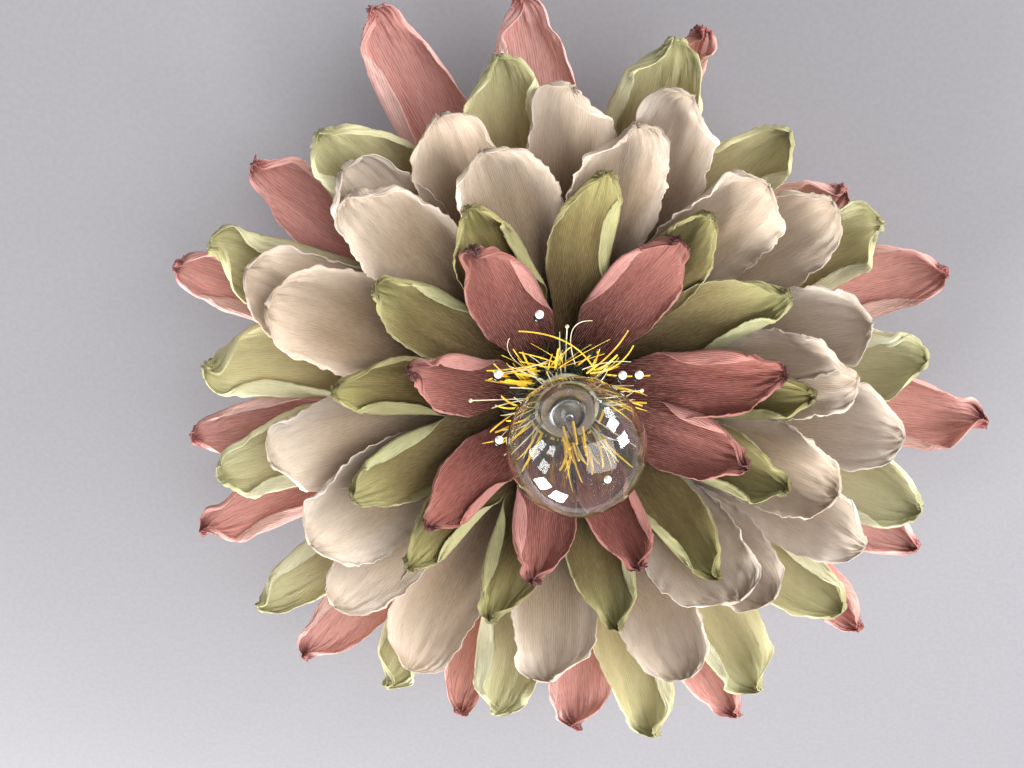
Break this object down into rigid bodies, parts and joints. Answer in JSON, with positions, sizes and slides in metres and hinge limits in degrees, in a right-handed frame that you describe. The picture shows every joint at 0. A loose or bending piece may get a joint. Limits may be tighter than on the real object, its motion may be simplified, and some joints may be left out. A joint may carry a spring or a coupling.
{
  "type": "paper flower lamp",
  "caption": "Large paper flower of creped petals in pink, green and cream tiers round a clear globe bulb, for a ceiling or a wall.",
  "frame": {"origin": "centre of the flat back plate's outer face, which goes against the ceiling or the wall", "axes": "+Z from the back plate to the bulb, square to the back face, with +X and +Y across the flower as in the picture"},
  "size_m": [0.6216, 0.5911, 0.1975],
  "materials": {
    "card": "matte",
    "petal_rose": "creped, matte",
    "petal_sage": "creped, matte",
    "petal_cream": "creped, matte",
    "petal_pale_green": "creped, matte",
    "petal_salmon": "creped, matte",
    "holder_plastic": "satin",
    "contact_brass": "plain",
    "clear_glass": "clear, gloss",
    "cap_metal": "plain",
    "insulator": "dark",
    "filament": "yellow phosphor coat",
    "stamen_yellow": "cut strips",
    "stamen_dark": "cut strips",
    "stamen_cream": "cut strips",
    "bead_black": "gloss",
    "bead_white": "gloss"
  },
  "bodies": {
    "root": {"back_plate": "card", "outer_pink_tier": "petal_salmon", "outer_green_tier": "petal_pale_green", "outer_white_tier": "petal_cream", "inner_white_ring": "card", "inner_white_petal_1": "petal_cream", "inner_white_petal_2": "petal_cream", "inner_white_petal_3": "petal_cream", "inner_white_petal_4": "petal_cream", "inner_white_petal_5": "petal_cream", "inner_white_petal_6": "petal_cream", "inner_white_petal_7": "petal_cream", "inner_white_petal_8": "petal_cream", "inner_white_petal_9": "petal_cream", "inner_green_ring": "card", "inner_green_petal_1": "petal_sage", "inner_green_petal_2": "petal_sage", "inner_green_petal_3": "petal_sage", "inner_green_petal_4": "petal_sage", "inner_green_petal_5": "petal_sage", "inner_green_petal_6": "petal_sage", "inner_green_petal_7": "petal_sage", "inner_green_petal_8": "petal_sage", "inner_green_petal_9": "petal_sage", "inner_green_petal_10": "petal_sage", "inner_green_petal_11": "petal_sage", "inner_green_petal_12": "petal_sage", "inner_green_petal_13": "petal_sage", "inner_pink_ring": "card", "inner_pink_petal_1": "petal_rose", "inner_pink_petal_2": "petal_rose", "inner_pink_petal_3": "petal_rose", "inner_pink_petal_4": "petal_rose", "inner_pink_petal_5": "petal_rose", "inner_pink_petal_6": "petal_rose", "inner_pink_petal_7": "petal_rose", "inner_pink_petal_8": "petal_rose", "lampholder_body": "holder_plastic", "lampholder_screw_shell": "contact_brass", "lampholder_contact": "contact_brass", "bulb_glass": "clear_glass", "bulb_cap": "cap_metal", "bulb_contact": "insulator", "bulb_stem": "clear_glass", "bulb_filaments": "filament", "stamens_yellow": "stamen_yellow", "stamens_dark": "stamen_dark", "stamens_cream": "stamen_cream", "bead_pin_1": "bead_black", "white_bead_1": "bead_white", "bead_pin_2": "bead_black", "white_bead_2": "bead_white", "bead_pin_3": "bead_black", "white_bead_3": "bead_white", "bead_pin_4": "bead_black", "white_bead_4": "bead_white", "bead_pin_5": "bead_black", "white_bead_5": "bead_white", "bead_pin_6": "bead_black", "white_bead_6": "bead_white"}
  },
  "joints": []
}
